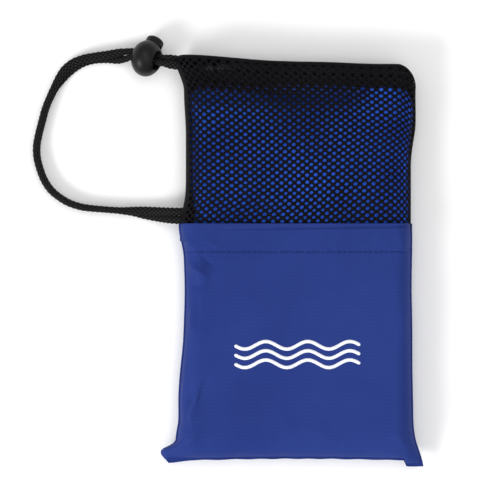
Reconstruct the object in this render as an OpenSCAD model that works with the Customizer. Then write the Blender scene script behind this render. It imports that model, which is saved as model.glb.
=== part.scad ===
// Quick dry towel folded inside its drawstring travel pouch.
// The pouch lies on its back: +Z up, +Y towards the mouth, +X across. The origin is on the
// surface it lies on, under the middle of the pouch. All lengths are millimetres.

/* [Pouch] */
// Width across the filled pouch
pouch_w = 110; // [106:1:116]
// Height of the filled pouch above the surface it lies on
pouch_h = 19; // [18.8:0.1:20]
// Distance from the mouth to the tips of the bottom corners
pouch_l = 194; // [186:2:206]
// Thickness of the pouch cloth
cloth_t = 0.6; // [0.4:0.1:0.6]
// Height of the coated panel's top edge above the middle of the pouch
waist_y = 18; // [12:1:26]
// How far each bottom corner stands out past the side
ear_out = 8; // [4:0.5:9]

/* [Drawstring] */
// Width of the hem that the drawcord runs in
hem_w = 8; // [7:0.5:10]
// Diameter of the braided drawcord
cord_d = 3; // [2.8:0.1:3]

/* [Stitching] */
// Distance from one stitch to the next
stitch_pitch = 2.5; // [2:0.1:4]
// Diameter of the sewing thread
thread_d = 0.5; // [0.3:0.1:0.6]

/* [Cord lock] */
// Diameter of the lock's body across the plunger
lock_d = 17.6; // [17.4:0.1:18]
// Length of the lock's body along the cord
lock_len = 14.2; // [14:0.1:15]
// Diameter of the hole that the cord passes through
lock_hole_d = 9.2; // [9:0.1:9.4]
// Diameter of the plunger
plunger_d = 8.7; // [8.4:0.1:8.7]
// How far the plunger travels when it is pressed
plunger_travel = 2.2; // [1.8:0.1:2.2]

/* [Towel] */
// Width of the folded towel
towel_w = 97; // [90:1:98]
// Thickness of the folded towel
towel_h = 16.6; // [14:0.2:16.6]
// Length of the folded towel
towel_l = 165; // [150:1:166]

/* [Hidden] */
$fn = 64;

mouth_y = pouch_l / 2;              // edge of the mouth
ear_y = -pouch_l / 2;               // tips of the bottom corners
bottom_y = ear_y + 2.5;             // bottom fold between the corners
hem_y = mouth_y - hem_w;            // lower edge of the hem
mid_z = pouch_h / 2;                // height of the side seams
flat_x = (pouch_w - pouch_h) / 2;   // half width of the flat top, before it rounds over
seam_w = 4.6;                       // width of the seam allowance inside
seam_t = 1.2;                       // thickness of the two layers sewn together
hem_t = cord_d + 0.8;               // thickness of the hem with the cord in it
hem_wall = 0.35;                    // one layer of the hem
waist_stitch_y = waist_y - 13;      // row of stitches that joins the panel to the mesh
thread_r = thread_d / 2;
stitch_len = stitch_pitch * 0.7;
big = 400;                          // larger than any size here

blue = [0.18, 0.25, 0.55];
black = [0.09, 0.09, 0.09];
towel_blue = [0.10, 0.32, 0.80];

// ---- shapes shared by the pouch's pieces ----

// Outline of the filled pouch seen from its mouth, drawn in across and up
module loop_outline(w, h) {
    square([w - h, h], center = true);
    for (side = [-1, 1]) translate([side * (w - h) / 2, 0]) circle(d = h);
}

// The loop outline carried along Y from one place to another
module along_y(y0, y1) {
    translate([0, y1, mid_z]) rotate([90, 0, 0]) linear_extrude(y1 - y0) children();
}

// The filled pouch as a solid whose skin is inset by t, open past the mouth
module pouch_solid(t) {
    intersection() {
        along_y(bottom_y + t, big) loop_outline(pouch_w - 2 * t, pouch_h - 2 * t);
        translate([-big / 2, bottom_y + t, mid_z]) rotate([90, 0, 90]) linear_extrude(big) {
            translate([pouch_h / 2 - t, 0]) circle(d = pouch_h - 2 * t);
            translate([pouch_h / 2 - t, t - pouch_h / 2]) square([big, pouch_h - 2 * t]);
        }
    }
}

// Everything above the seams, or everything below them
module half_space(front, y0, y1) {
    translate([-big / 2, y0, front ? mid_z : mid_z - big]) cube([big, y1 - y0, big]);
}

module half_skin(front, y0, y1) {
    intersection() {
        difference() {
            pouch_solid(0);
            pouch_solid(cloth_t);
        }
        half_space(front, y0, y1);
    }
}

// Flat bottom corner of one layer, which the towel doesn't fill
module ears(front) {
    half_w = pouch_w / 2;
    for (side = [-1, 1])
        translate([0, 0, front ? mid_z : mid_z - cloth_t]) linear_extrude(cloth_t)
            polygon([[side * (half_w - 0.3), ear_y + 16],
                     [side * (half_w + ear_out), ear_y + 6],
                     [side * (half_w + ear_out - 1.5), ear_y],
                     [side * (half_w - 6), bottom_y + 0.3]]);
}

// Half of the hem tube: a band round the mouth with room inside for the cord
module half_hem(front) {
    intersection() {
        difference() {
            along_y(hem_y, mouth_y) difference() {
                loop_outline(pouch_w, pouch_h);
                loop_outline(pouch_w - 2 * hem_t, pouch_h - 2 * hem_t);
            }
            along_y(hem_y + hem_wall, mouth_y - hem_wall) difference() {
                loop_outline(pouch_w - 2 * hem_wall, pouch_h - 2 * hem_wall);
                loop_outline(pouch_w - 2 * (hem_t - hem_wall), pouch_h - 2 * (hem_t - hem_wall));
            }
        }
        half_space(front, hem_y, mouth_y);
    }
}

// One sewing stitch lying along X
module stitch() {
    rotate([0, 90, 0]) cylinder(r = thread_r, h = stitch_len, center = true, $fn = 16);
}

// A row of stitches across one layer at height y, in the surface of the cloth
module stitch_row(front, y) {
    up = front ? 1 : -1;
    depth = mid_z - thread_r;
    count = floor(flat_x / stitch_pitch);
    turn = stitch_pitch / depth * 180 / PI;
    for (i = [-count:count])
        translate([i * stitch_pitch, y, mid_z + up * depth]) stitch();
    for (side = [-1, 1], k = [0:3])
        translate([side * flat_x, y, mid_z]) rotate([0, side * up * turn * (k + 0.9), 0])
            translate([0, 0, up * depth]) stitch();
}

module side_seam(side) {
    outer = pouch_w / 2 - cloth_t / 2;
    translate([side > 0 ? outer - seam_w : -outer, bottom_y + 4, mid_z - seam_t / 2])
        cube([seam_w, hem_y - bottom_y - 6, seam_t]);
}

// ---- the cord's route ----
// Both strands leave the left seam side by side, lie on each other round the loop, pass
// through the lock and go up into the hem. Points are across, along and up.

route_a = [
    [-52, 24.05, 9.5], [-56, 24.05, 9.5], [-60, 24.1, 8.8], [-64, 24.25, 7], [-69, 24.5, 5.1],
    [-74, 24.7, 4.5], [-80, 24.8, 4.6], [-86, 24.9, 4.7], [-100, 25.8, 4.7],
    [-106, 26.9, 4.7], [-111, 28.8, 4.7], [-115.5, 31.7, 4.7], [-119, 34.8, 4.7],
    [-122, 39.4, 4.7], [-124, 44.5, 4.7], [-125.4, 50, 4.7], [-125.7, 55.5, 4.7],
    [-124.8, 61, 4.7], [-123.2, 67.4, 4.7], [-121.4, 74, 4.7], [-119.2, 79.5, 4.7],
    [-117, 84.3, 4.7], [-114.5, 89, 4.5], [-111.6, 93, 4.3], [-107.6, 96.1, 4.3],
    [-102.5, 98, 4.6], [-97, 99, 4.7], [-91.5, 99.8, 4.6], [-86.5, 100.7, 4.3],
    [-82, 101.5, 4.2], [-77.6, 101.35, 5.1], [-71.3, 99.8, 7.7], [-65, 98.2, 10.3],
    [-61.3, 97.5, 11.1], [-57.6, 97, 10.4], [-54, 96, 8.8], [-50.5, 94.7, 6.4], [-47, 93.6, 4],
    [-43.5, 93.1, 2.4], [-40, 93, 1.9]];

route_b = [
    [-52, 20.25, 9.5], [-56, 20.25, 9.5], [-60, 20.4, 8.6], [-64, 20.9, 6], [-68, 21.6, 3.2],
    [-73, 22.6, 1.7], [-79, 23.9, 1.55], [-86, 24.7, 1.55],
    [-100, 26.1, 1.55], [-106, 27.3, 1.55], [-110.8, 29.2, 1.55], [-115.2, 32, 1.55],
    [-118.6, 35.1, 1.55], [-121.6, 39.6, 1.55], [-123.6, 44.6, 1.55], [-125, 50, 1.55],
    [-125.3, 55.5, 1.55], [-124.4, 61, 1.55], [-122.8, 67.4, 1.55], [-121, 74, 1.55],
    [-118.8, 79.3, 1.55], [-116.4, 83.9, 1.55], [-113.3, 88, 1.55], [-110.1, 91.5, 1.55],
    [-106.6, 94.3, 1.55], [-102.2, 96.6, 1.55], [-96.9, 97.8, 1.55], [-91.3, 98, 1.7],
    [-86.8, 97.6, 2.5], [-82.7, 97.8, 4.3], [-78.8, 98.75, 6.4], [-72.5, 97.2, 9],
    [-66.2, 95.6, 11.65], [-62.4, 94.8, 12.9], [-58.8, 94.2, 12.8], [-55.2, 93.7, 12.7],
    [-51.8, 93.3, 13.6], [-48.4, 93.1, 15.2], [-44.5, 93, 16.6], [-40, 93, 17.1]];

cord_sides = 8;

function unit(v) = v / norm(v);
function heading(path, i) =
    let (n = len(path)) unit(path[min(i + 1, n - 1)] - path[max(i - 1, 0)]);

// One ring of the tube, square to the route. The cord never runs straight up.
function ring(path, i, r, sides) =
    let (d = heading(path, i), side = unit(cross(d, [0, 0, 1])), up = cross(side, d))
    [for (k = [0:sides - 1])
        path[i] + r * (cos(360 * k / sides) * side + sin(360 * k / sides) * up)];

// Closed tube along a route, with flat ends
module tube(path, r, sides) {
    n = len(path);
    points = [for (i = [0:n - 1]) each ring(path, i, r, sides)];
    walls = [for (i = [0:n - 2], k = [0:sides - 1])
        let (next = (k + 1) % sides)
        [i * sides + k, i * sides + next, (i + 1) * sides + next, (i + 1) * sides + k]];
    first = [for (k = [sides - 1:-1:0]) k];
    last = [for (k = [0:sides - 1]) (n - 1) * sides + k];
    polyhedron(points = points, faces = concat(walls, [first, last]), convexity = 8);
}

// ---- pouch ----

module front_panel() {
    color(blue) {
        half_skin(true, bottom_y - 1, waist_y);
        ears(true);
    }
}

module back_panel() {
    color(blue) {
        half_skin(false, bottom_y - 1, waist_y);
        ears(false);
    }
}

module front_mesh() {
    color(black) half_skin(true, waist_y, hem_y);
}

module back_mesh() {
    color(black) half_skin(false, waist_y, hem_y);
}

module casing_front() {
    color(black) half_hem(true);
}

module casing_back() {
    color(black) half_hem(false);
}

module left_seam() {
    color(black) side_seam(-1);
}

module right_seam() {
    color(black) side_seam(1);
}

module bottom_seam() {
    color(blue) translate([-pouch_w / 2 + 6, bottom_y + cloth_t / 2, mid_z - seam_t / 2])
        cube([pouch_w - 12, seam_w, seam_t]);
}

module waist_stitching_front() {
    color(blue) stitch_row(true, waist_stitch_y);
}

module waist_stitching_back() {
    color(blue) stitch_row(false, waist_stitch_y);
}

module casing_stitching_front() {
    color(black) stitch_row(true, hem_y + 0.6);
}

module casing_stitching_back() {
    color(black) stitch_row(false, hem_y + 0.6);
}

// Printed mark: three wavy lines
module front_print() {
    print_t = 0.15;
    mark_w = 60;
    wave_l = 20;
    wave_h = 1.8;
    line_w = 1.6;
    line_gap = 4.4;
    steps = 60;
    middle = [for (k = [0:steps]) let (x = mark_w * k / steps)
        [x - mark_w / 2, wave_h * sin(360 * x / wave_l)]];
    outline = concat([for (k = [0:steps]) middle[k] + [0, line_w / 2]],
                     [for (k = [steps:-1:0]) middle[k] - [0, line_w / 2]]);
    color("white") for (row = [-1:1])
        translate([0, row * line_gap - 44, pouch_h]) linear_extrude(print_t) polygon(outline);
}

// Bar tack that sews both ends of the cord into the left seam
module cord_tack() {
    tack_x = -pouch_w / 2 + 1.8;
    rows = 9;
    color(black) for (k = [0:rows - 1])
        translate([tack_x, 18.2 + k, mid_z + cord_d / 2]) stitch();
}

// The cord inside the hem: along the front, round the right side and back along the back
module casing_cord() {
    run_z = (pouch_h - hem_t) / 2;
    run_y = 93;
    run_x = -40;
    color(black) {
        for (up = [-1, 1])
            translate([run_x, run_y, mid_z + up * run_z]) rotate([0, 90, 0])
                cylinder(d = cord_d, h = flat_x - run_x);
        translate([flat_x, run_y, mid_z]) rotate([90, 0, 0]) rotate([0, 0, -90])
            rotate_extrude(angle = 180) translate([run_z, 0]) circle(d = cord_d, $fn = 32);
    }
}

module drawcord_a() {
    color(black) tube(route_a, cord_d / 2, cord_sides);
}

module drawcord_b() {
    color(black) tube(route_b, cord_d / 2, cord_sides);
}

// ---- cord lock ----
// In the lock's own frame X runs along the cord's hole, Y along the plunger, outwards.

lock_at = [-72.2, 97.8, 8.7];
lock_heading = -14;
lock_pitch = 22;
lock_roll = -27;

slot_d = 4.6;                              // width of the plunger's slot
slot_in = -2.4;                            // inner end of the slot
slot_out = 8.3;                            // outer end of the slot
plunger_in = -4;                           // inner face of the plunger
plunger_out = lock_d / 2 + plunger_travel; // outer face of the plunger
bore_floor = plunger_in - plunger_travel - 0.15;
pocket_r = 2.9;                            // the spring's pocket, in the body and the plunger
pocket_floor = bore_floor - 1.25;
pocket_roof = plunger_in + 0.7;
spring_r = 2.3;
spring_wire_r = 0.25;

module in_lock_frame() {
    translate(lock_at) rotate([0, 0, lock_heading]) rotate([0, -lock_pitch, 0])
        rotate([lock_roll, 0, 0]) children();
}

// Cylinder along the lock's Y, from one place to another
module y_rod(r, y0, y1) {
    translate([0, y1, 0]) rotate([90, 0, 0]) cylinder(r = r, h = y1 - y0);
}

// Cylinder along the lock's X, through everything
module x_rod(r, y) {
    translate([0, y, 0]) rotate([0, 90, 0]) cylinder(r = r, h = 40, center = true);
}

module lock_body() {
    steps = 24;
    half_len = lock_len / 2;
    profile = [for (k = [0:steps]) let (a = 180 * k / steps)
        [lock_d / 2 * sin(a), -half_len * cos(a)]];
    flare = 1.1;
    rim = half_len * sqrt(1 - pow(lock_hole_d / lock_d, 2));
    color([0.13, 0.13, 0.14]) in_lock_frame() difference() {
        rotate([0, 90, 0]) rotate_extrude() polygon(profile);
        x_rod(lock_hole_d / 2, 0);
        for (side = [0, 180]) rotate([0, side, 0]) translate([rim - 0.7, 0, 0]) rotate([0, 90, 0])
            cylinder(r1 = lock_hole_d / 2, r2 = lock_hole_d / 2 + flare, h = flare);
        y_rod(plunger_d / 2 + 0.1, bore_floor, lock_d);
        y_rod(pocket_r, pocket_floor, 0);
    }
}

module lock_plunger() {
    r = plunger_d / 2;
    edge = 0.8;
    profile = concat([[0, plunger_in], [r, plunger_in]],
        [for (k = [0:6]) let (a = 90 * k / 6)
            [r - edge + edge * cos(a), plunger_out - edge + edge * sin(a)]],
        [[0, plunger_out]]);
    color([0.15, 0.15, 0.16]) in_lock_frame() difference() {
        rotate([-90, 0, 0]) rotate_extrude() polygon(profile);
        x_rod(slot_d / 2, slot_in + slot_d / 2);
        x_rod(slot_d / 2, slot_out - slot_d / 2);
        translate([-10, slot_in + slot_d / 2, -slot_d / 2])
            cube([20, slot_out - slot_in - slot_d, slot_d]);
        y_rod(pocket_r, plunger_in - 1, pocket_roof);
    }
}

// Coil spring that pushes the plunger out
module lock_spring() {
    turns = 3.5;
    per_turn = 14;
    gap = 0.05;
    y0 = pocket_floor + spring_wire_r + gap;
    rise = pocket_roof - pocket_floor - 2 * (spring_wire_r + gap);
    rings = round(turns * per_turn);
    coil = [for (i = [0:rings]) let (a = 360 * i / per_turn)
        [spring_r * cos(a), spring_r * sin(a), y0 + rise * i / rings]];
    color("silver") in_lock_frame() rotate([-90, 0, 0]) tube(coil, spring_wire_r, 6);
}

// ---- towel ----

towel_in = -79;                     // end of the folded towel in the bottom of the pouch
towel_z = 1;                        // underside of the folded towel

// Folded towel: a block with rounded folds on all four sides
module towel() {
    mid = towel_z + towel_h / 2;
    color(towel_blue) intersection() {
        translate([0, 0, mid - mid_z]) along_y(towel_in, towel_in + towel_l)
            loop_outline(towel_w, towel_h);
        translate([-towel_w, towel_in + towel_l / 2, mid]) rotate([90, 0, 90])
            linear_extrude(2 * towel_w) loop_outline(towel_l, towel_h);
    }
}

// Overlocked hem that shows on the top layer of the folded towel
module towel_overlock() {
    bead_w = 1.6;
    bead_t = 0.35;
    side_x = (towel_w - towel_h) / 2 - bead_w;
    end_y = towel_in + towel_l - towel_h / 2 - bead_w;
    color([0.08, 0.26, 0.66]) translate([0, 0, towel_z + towel_h]) {
        translate([side_x, towel_in + towel_h / 2, 0])
            cube([bead_w, towel_l - towel_h, bead_t]);
        translate([-side_x, end_y, 0]) cube([2 * side_x + bead_w, bead_w, bead_t]);
    }
}

front_panel();
back_panel();
front_mesh();
back_mesh();
casing_front();
casing_back();
left_seam();
right_seam();
bottom_seam();
waist_stitching_front();
waist_stitching_back();
casing_stitching_front();
casing_stitching_back();
front_print();
cord_tack();
casing_cord();
drawcord_a();
drawcord_b();
lock_body();
lock_plunger();
lock_spring();
towel();
towel_overlock();
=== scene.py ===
"""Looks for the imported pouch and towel, built round the CAD frame.

Shapes are worked out in millimetres, in the frame of the CAD, and made in metres.
"""

import math

import bpy
import numpy as np
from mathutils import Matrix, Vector, noise
from mathutils.bvhtree import BVHTree


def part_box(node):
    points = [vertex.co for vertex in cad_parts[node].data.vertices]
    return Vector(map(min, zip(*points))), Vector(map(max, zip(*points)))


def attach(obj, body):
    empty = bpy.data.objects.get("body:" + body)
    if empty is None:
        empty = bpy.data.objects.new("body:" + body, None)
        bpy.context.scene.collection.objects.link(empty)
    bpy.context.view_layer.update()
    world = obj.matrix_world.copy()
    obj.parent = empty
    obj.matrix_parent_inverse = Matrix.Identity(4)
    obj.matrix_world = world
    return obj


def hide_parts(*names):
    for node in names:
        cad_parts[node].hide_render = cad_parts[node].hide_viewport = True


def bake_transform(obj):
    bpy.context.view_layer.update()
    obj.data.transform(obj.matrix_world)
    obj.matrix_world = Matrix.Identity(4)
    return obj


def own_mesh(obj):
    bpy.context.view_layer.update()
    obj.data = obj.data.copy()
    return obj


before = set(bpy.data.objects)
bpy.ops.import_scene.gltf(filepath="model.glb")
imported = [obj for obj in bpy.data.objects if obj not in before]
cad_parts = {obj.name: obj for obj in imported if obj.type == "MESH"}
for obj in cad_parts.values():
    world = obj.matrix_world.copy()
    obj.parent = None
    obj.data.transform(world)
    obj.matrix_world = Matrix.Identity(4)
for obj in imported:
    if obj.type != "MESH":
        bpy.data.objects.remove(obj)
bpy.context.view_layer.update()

MM = 0.001
UV_SPAN = 100.0     # mm of cloth along one UV unit
rng = np.random.default_rng(7)
scene = bpy.context.scene

# ---------------------------------------------------------------- camera
VIEW_CENTRE = (-22.56, 5.76)   # point under the camera
VIEW_WIDTH = 240.0             # width of the view at the pouch's mid height
CAMERA_UP = 1200.0
MID = 9.5                      # height of the side seams above the floor

camera_data = bpy.data.cameras.new("camera")
camera_data.sensor_width = 36.0
camera_data.lens = 36.0 * CAMERA_UP / VIEW_WIDTH
camera_data.clip_start, camera_data.clip_end = 0.05, 20.0
camera = bpy.data.objects.new("camera", camera_data)
camera.location = (VIEW_CENTRE[0] * MM, VIEW_CENTRE[1] * MM, (CAMERA_UP + MID) * MM)
scene.collection.objects.link(camera)
scene.camera = camera
scene.view_settings.view_transform = "Standard"


# ---------------------------------------------------------------- helpers
def smooth(a, b, x):
    """0 before a, 1 after b, with a smooth step between."""
    t = np.clip((np.asarray(x, float) - a) / (b - a), 0, 1)
    return t * t * (3 - 2 * t)


def bell(x, centre, width):
    return np.exp(-(((np.asarray(x, float) - centre) / width) ** 2))


def wobble(points, size, seed, octaves=2):
    """Soft noise from -1 to 1 at each point, whose features are about size across."""
    out = np.zeros(len(points))
    shift = Vector((seed * 17.3, seed * 5.1, seed * 9.7))
    for i, p in enumerate(points):
        q = Vector((float(p[0]), float(p[1]), float(p[2]) if len(p) > 2 else 0.0)) / size
        value, gain = 0.0, 1.0
        for k in range(octaves):
            value += gain * noise.noise(q * 2**k + shift)
            gain *= 0.5
        out[i] = value
    return out


def make(name, points, faces, material, uv=None, flat=False, values=None):
    """A mesh object from points in mm. uv is per point, and values a named number per point."""
    data = bpy.data.meshes.new(name)
    data.from_pydata((np.asarray(points, float) * MM).tolist(), [], faces)
    if uv is not None:
        layer = data.uv_layers.new(name="UVMap")
        corner = np.empty(len(data.loops), int)
        data.loops.foreach_get("vertex_index", corner)
        layer.data.foreach_set("uv", (np.asarray(uv, float)[corner] / UV_SPAN).ravel())
    for key, value in (values or {}).items():
        data.attributes.new(key, "FLOAT", "POINT").data.foreach_set(
            "value", np.asarray(value, np.float32))
    if not flat:
        data.shade_smooth()
    data.materials.append(material)
    data.validate()
    obj = bpy.data.objects.new(name, data)
    scene.collection.objects.link(obj)
    return obj


def grid_faces(rows, cols, flip=False, wrap=False):
    """Quads for points laid out row by row."""
    faces = []
    for r in range(rows - 1):
        for c in range(cols if wrap else cols - 1):
            a, b = r * cols + c, r * cols + (c + 1) % cols
            quad = (a, b, b + cols, a + cols)
            faces.append(quad[::-1] if flip else quad)
    return faces


def thicken(obj, mm, offset=-1.0):
    mod = obj.modifiers.new("thickness", "SOLIDIFY")
    mod.thickness, mod.offset = mm * MM, offset
    mod.use_quality_normals = True
    return obj


def settle(obj, body, slot, *nodes):
    """Rides a finished piece on its body, with the CAD nodes it stands for."""
    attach(obj, body)
    if nodes:
        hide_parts(*nodes)
    return obj


def spline(points, step):
    """Evenly spaced points on a smooth curve through the given ones."""
    p = np.asarray(points, float)
    p = np.vstack([2 * p[0] - p[1], p, 2 * p[-1] - p[-2]])
    out = []
    for i in range(1, len(p) - 2):
        a, b, c, d = p[i - 1], p[i], p[i + 1], p[i + 2]
        for t in np.arange(0, 1, 0.05):
            out.append(0.5 * (2 * b + (c - a) * t + (2 * a - 5 * b + 4 * c - d) * t**2
                              + (3 * b - a - 3 * c + d) * t**3))
    out = np.array(out + [p[-2]])
    run = np.concatenate([[0], np.cumsum(np.linalg.norm(np.diff(out, axis=0), axis=1))])
    even = np.linspace(0, run[-1], max(2, int(round(run[-1] / step)) + 1))
    return np.column_stack([np.interp(even, run, out[:, k]) for k in range(out.shape[1])])


def frames(path):
    """Two directions across the path at each point, carried along it without twist."""
    tangent = np.gradient(path, axis=0)
    tangent /= np.linalg.norm(tangent, axis=1)[:, None]
    side = np.cross(tangent[0], (0.0, 0.0, 1.0))
    if np.linalg.norm(side) < 0.1:
        side = np.cross(tangent[0], (1.0, 0.0, 0.0))
    sides = []
    for t in tangent:
        side = side - t * (side @ t)
        side = side / np.linalg.norm(side)
        sides.append(side)
    sides = np.array(sides)
    return sides, np.cross(tangent, sides)


def tube(path, radius, sides, wide=1.0, tall=1.0):
    """Points and faces of a closed tube. radius is a number, or one per ring and side."""
    across, up = frames(path)
    n = len(path)
    angle = np.linspace(0, 2 * math.pi, sides, endpoint=False)
    r = np.broadcast_to(np.asarray(radius, float), (n, sides))
    ring = (path[:, None]
            + r[..., None] * (wide * np.cos(angle)[None, :, None] * across[:, None]
                              + tall * np.sin(angle)[None, :, None] * up[:, None]))
    points = ring.reshape(-1, 3)
    faces = grid_faces(n, sides, wrap=True)
    faces += [tuple(range(sides))[::-1], tuple((n - 1) * sides + k for k in range(sides))]
    return points, faces


def joined(parts):
    """One set of points and faces from several."""
    points, faces, start = [], [], 0
    for p, f in parts:
        points.append(p)
        faces += [tuple(i + start for i in face) for face in f]
        start += len(p)
    return np.vstack(points), faces


# ---------------------------------------------------------------- materials
def srgb(r, g, b):
    """A colour from 0-255 display values, as the linear colour a shader takes."""
    return tuple(((c / 255 + 0.055) / 1.055) ** 2.4 if c > 10 else c / 255 / 12.92
                 for c in (r, g, b)) + (1.0,)


class Finish:
    """A material on one Principled shader, with short calls for the nodes that feed it."""

    def __init__(self, name, **constants):
        self.material = bpy.data.materials.new(name)
        self.material.use_nodes = True
        self.tree = self.material.node_tree
        self.shader = self.tree.nodes["Principled BSDF"]
        for key, value in constants.items():
            self.shader.inputs[key.replace("_", " ")].default_value = value
        self.coords = self.node("ShaderNodeTexCoord")

    def node(self, kind, inputs=None, **settings):
        made = self.tree.nodes.new(kind)
        for key, value in settings.items():
            setattr(made, key, value)
        for key, value in (inputs or {}).items():
            if isinstance(value, bpy.types.NodeSocket):
                self.tree.links.new(value, made.inputs[key])
            else:
                made.inputs[key].default_value = value
        return made

    def noise(self, scale, detail=3.0, rough=0.55):
        return self.node("ShaderNodeTexNoise", {
            "Vector": self.coords.outputs["Object"], "Scale": scale, "Detail": detail,
            "Roughness": rough}).outputs["Fac"]

    def math(self, operation, a, b=0.0, c=0.0):
        return self.node("ShaderNodeMath", {0: a, 1: b, 2: c}, operation=operation).outputs[0]

    def spread(self, value, low, high, out_low=0.0, out_high=1.0):
        return self.node("ShaderNodeMapRange", {
            "Value": value, "From Min": low, "From Max": high,
            "To Min": out_low, "To Max": out_high}).outputs["Result"]

    def colour(self, factor, first, second):
        mix = self.node("ShaderNodeMix", data_type="RGBA")
        self.tree.links.new(factor, mix.inputs[0])
        for index, value in ((6, first), (7, second)):
            if isinstance(value, bpy.types.NodeSocket):
                self.tree.links.new(value, mix.inputs[index])
            else:
                mix.inputs[index].default_value = value
        return mix.outputs[2]

    def attribute(self, name):
        return self.node("ShaderNodeAttribute", attribute_name=name).outputs["Fac"]

    def bands(self, along, pitch):
        """A ridge from 0 to 1 every pitch mm along a UV direction."""
        split = self.node("ShaderNodeSeparateXYZ", {0: self.coords.outputs["UV"]})
        turn = 2 * math.pi * UV_SPAN / pitch
        a = self.math("MULTIPLY", split.outputs[0], along[0] * turn)
        b = self.math("MULTIPLY_ADD", split.outputs[1], along[1] * turn, a)
        wave = self.math("SINE", b)
        return self.math("MULTIPLY_ADD", wave, 0.5, 0.5)

    def relief(self, height, mm, strength=1.0, under=None):
        inputs = {"Height": height, "Distance": mm * MM, "Strength": strength}
        if under is not None:
            inputs["Normal"] = under
        return self.node("ShaderNodeBump", inputs).outputs["Normal"]

    def wire(self, **sockets):
        for key, value in sockets.items():
            self.tree.links.new(value, self.shader.inputs[key.replace("_", " ")])
        return self.material


def coated_cloth():
    """Coated polyester: a fine slanting weave under a thin satin film."""
    f = Finish("coated_cloth", Specular_IOR_Level=0.05)
    twill = f.bands((0.80, 0.60), 1.15)
    ribs = f.bands((0.0, 1.0), 1.9)
    weave = f.math("MULTIPLY_ADD", ribs, 0.35, twill)
    soft = f.noise(28, 3)
    fine = f.noise(900, 2)
    tone = f.math("MULTIPLY_ADD", weave, 0.22, f.spread(soft, 0.3, 0.7, 0.22, 0.5))
    colour = f.colour(f.math("MULTIPLY_ADD", fine, 0.18, tone),
                      srgb(25, 40, 104), srgb(43, 62, 131))
    normal = f.relief(weave, 0.03, 0.5)
    normal = f.relief(fine, 0.03, 0.4, normal)
    rough = f.spread(f.math("ADD", fine, soft), 0.6, 1.4, 0.46, 0.60)
    return f.wire(Base_Color=colour, Roughness=rough, Normal=normal)


def net_cloth():
    """Knitted polyester net: matt yarn with small loops along every strand."""
    f = Finish("net_cloth", Specular_IOR_Level=0.08)
    yarn = f.noise(2600, 2, 0.7)
    loops = f.math("MULTIPLY", f.bands((0.75, 0.66), 0.95), f.bands((-0.75, 0.66), 0.95))
    soft = f.noise(45, 2)
    tone = f.math("ADD", f.math("MULTIPLY", loops, 0.75), f.math("MULTIPLY", yarn, 0.5))
    colour = f.colour(f.spread(tone, 0.3, 1.1), srgb(1, 1, 2), srgb(34, 31, 38))
    normal = f.relief(f.math("ADD", loops, yarn), 0.14, 0.9)
    return f.wire(Base_Color=colour, Roughness=f.spread(soft, 0.3, 0.7, 0.62, 0.8), Normal=normal)


def braid_cloth(name, dark, light):
    """Yarn of a braid, darker down between the strands as painted shade."""
    f = Finish(name, Specular_IOR_Level=0.1)
    yarn = f.noise(3200, 2, 0.7)
    # the groove value darkens the yarn: painted shade down between a braid's strands, and on the
    # seam tape a tone that varies along the tape
    deep = f.attribute("groove")
    tone = f.math("SUBTRACT", f.math("MULTIPLY_ADD", yarn, 0.6, 0.35), deep)
    colour = f.colour(f.spread(tone, 0.05, 0.85), dark, light)
    return f.wire(Base_Color=colour, Roughness=f.spread(yarn, 0.3, 0.7, 0.6, 0.8),
                  Normal=f.relief(yarn, 0.06, 0.6))


def thread(name, dark, light):
    """Twisted sewing thread with a little shine."""
    f = Finish(name, Specular_IOR_Level=0.15)
    ply = f.noise(3800, 2, 0.6)
    return f.wire(Base_Color=f.colour(f.spread(ply, 0.35, 0.65), dark, light),
                  Roughness=f.spread(ply, 0.3, 0.7, 0.38, 0.55), Normal=f.relief(ply, 0.05, 0.6))


def microfibre():
    """Short suede-like pile with brushed patches."""
    f = Finish("microfibre", Specular_IOR_Level=0.2, Sheen_Weight=0.25, Sheen_Roughness=0.4)
    pile = f.noise(1700, 3, 0.7)
    brushed = f.noise(34, 2)
    tone = f.math("MULTIPLY_ADD", pile, 0.55, f.spread(brushed, 0.35, 0.65, 0.0, 0.55))
    colour = f.colour(tone, srgb(14, 50, 158), srgb(46, 105, 238))
    return f.wire(Base_Color=colour, Roughness=f.spread(pile, 0.3, 0.7, 0.75, 0.95),
                  Normal=f.relief(pile, 0.22, 0.8))


def moulded(name, dark, light, rough, centre=None, axis=None, line_at=0.0):
    """Satin injection-moulded plastic, with a parting line where one is given, its groove coloured
    near-black as painted shade.
    """
    f = Finish(name, Specular_IOR_Level=0.24)
    grain = f.noise(1500, 2, 0.6)
    soft = f.noise(160, 2)
    colour = f.colour(f.spread(f.math("ADD", grain, soft), 0.7, 1.3), dark, light)
    normal = f.relief(grain, 0.018, 0.6)
    if axis is not None:
        along = f.node("ShaderNodeVectorMath", {0: f.coords.outputs["Object"], 1: axis},
                       operation="DOT_PRODUCT").outputs["Value"]
        start = float(Vector(centre).dot(Vector(axis))) + line_at * MM
        gap = f.math("ABSOLUTE", f.math("SUBTRACT", along, start))
        groove = f.spread(gap, 0.00006, 0.0002)
        # the parting line is coloured near-black, painted shade in its groove, with a bump for the
        # dip itself
        colour = f.colour(groove, srgb(6, 6, 6), colour)
        normal = f.relief(groove, 0.12, 0.8, normal)
    return f.wire(Base_Color=colour, Roughness=f.spread(f.math("ADD", grain, soft), 0.7, 1.3,
                                                        rough - 0.05, rough + 0.07), Normal=normal)


def ink():
    """Screen-printed white ink, a little thin where the weave shows through."""
    f = Finish("print_ink", Specular_IOR_Level=0.4)
    weave = f.noise(1200, 2, 0.6)
    return f.wire(Base_Color=f.colour(f.spread(weave, 0.3, 0.6), srgb(214, 219, 232),
                                      srgb(247, 248, 252)),
                  Roughness=f.spread(weave, 0.3, 0.7, 0.45, 0.6), Normal=f.relief(weave, 0.03, 0.5))


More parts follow.
